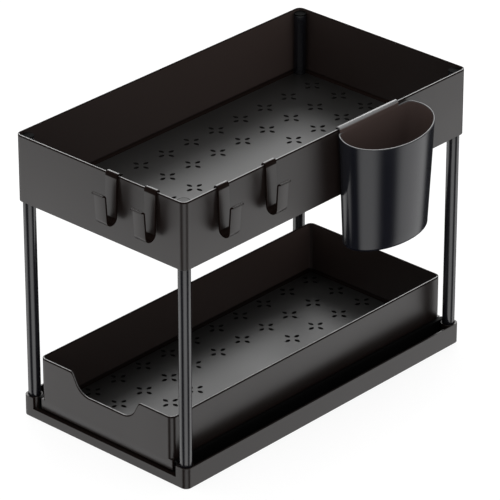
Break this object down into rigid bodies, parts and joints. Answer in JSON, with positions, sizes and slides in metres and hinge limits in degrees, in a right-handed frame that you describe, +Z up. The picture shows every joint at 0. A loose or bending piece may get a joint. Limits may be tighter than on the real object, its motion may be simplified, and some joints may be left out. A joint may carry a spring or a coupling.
{
  "type": "under sink organizer",
  "caption": "Tiered under sink organizer with a pull-out drawer, an upper tray on round poles, a hanging cup and clip-on strip hooks.",
  "frame": {"origin": "centre of the base tray's footprint, on the surface that it stands on", "axes": "+Z up; -Y the way the drawer opens; +X the long side that the cup hangs on"},
  "size_m": [0.2622, 0.4078, 0.2951],
  "materials": {
    "base_plastic": "satin black with a light grain",
    "tray_plastic": "satin black with a light grain",
    "drawer_plastic": "satin black with a light grain",
    "cup_plastic": "satin black with a light grain",
    "hook_plastic": "satin black",
    "cap_plastic": "matt black",
    "pole_paint": "satin black lacquer",
    "rail_steel": "satin black lacquer",
    "screw_steel": "bright zinc"
  },
  "bodies": {
    "stand": {"base_tray": "base_plastic", "base_screws": "screw_steel", "upper_tray": "tray_plastic", "post_caps": "cap_plastic", "tray_studs": "screw_steel", "rail_left": "rail_steel", "rail_right": "rail_steel", "pole_front_left": "pole_paint", "pole_front_right": "pole_paint", "pole_back_left": "pole_paint", "pole_back_right": "pole_paint", "post_front_left": "pole_paint", "post_front_right": "pole_paint", "post_back_left": "pole_paint", "post_back_right": "pole_paint"},
    "pull_out_drawer": {"drawer": "drawer_plastic", "runner_left": "rail_steel", "runner_right": "rail_steel"},
    "hanging_cup": {"cup": "cup_plastic"},
    "front_left_hook": {"hook_front_left": "hook_plastic"},
    "front_right_hook": {"hook_front_right": "hook_plastic"},
    "side_front_hook": {"hook_side_front": "hook_plastic"},
    "side_back_hook": {"hook_side_back": "hook_plastic"}
  },
  "joints": [
    {"name": "drawer_slide", "type": "slide", "parent": "stand", "child": "pull_out_drawer", "axis": [0, -1, 0], "range_m": [0, 0.26]},
    {"name": "cup_lift", "type": "slide", "parent": "stand", "child": "hanging_cup", "axis": [0, 0, 1], "range_m": [0, 0.05]},
    {"name": "front_left_hook_lift", "type": "slide", "parent": "stand", "child": "front_left_hook", "axis": [0, 0, 1], "range_m": [0, 0.03]},
    {"name": "front_right_hook_lift", "type": "slide", "parent": "stand", "child": "front_right_hook", "axis": [0, 0, 1], "range_m": [0, 0.03]},
    {"name": "side_front_hook_lift", "type": "slide", "parent": "stand", "child": "side_front_hook", "axis": [0, 0, 1], "range_m": [0, 0.03]},
    {"name": "side_back_hook_lift", "type": "slide", "parent": "stand", "child": "side_back_hook", "axis": [0, 0, 1], "range_m": [0, 0.03]}
  ]
}
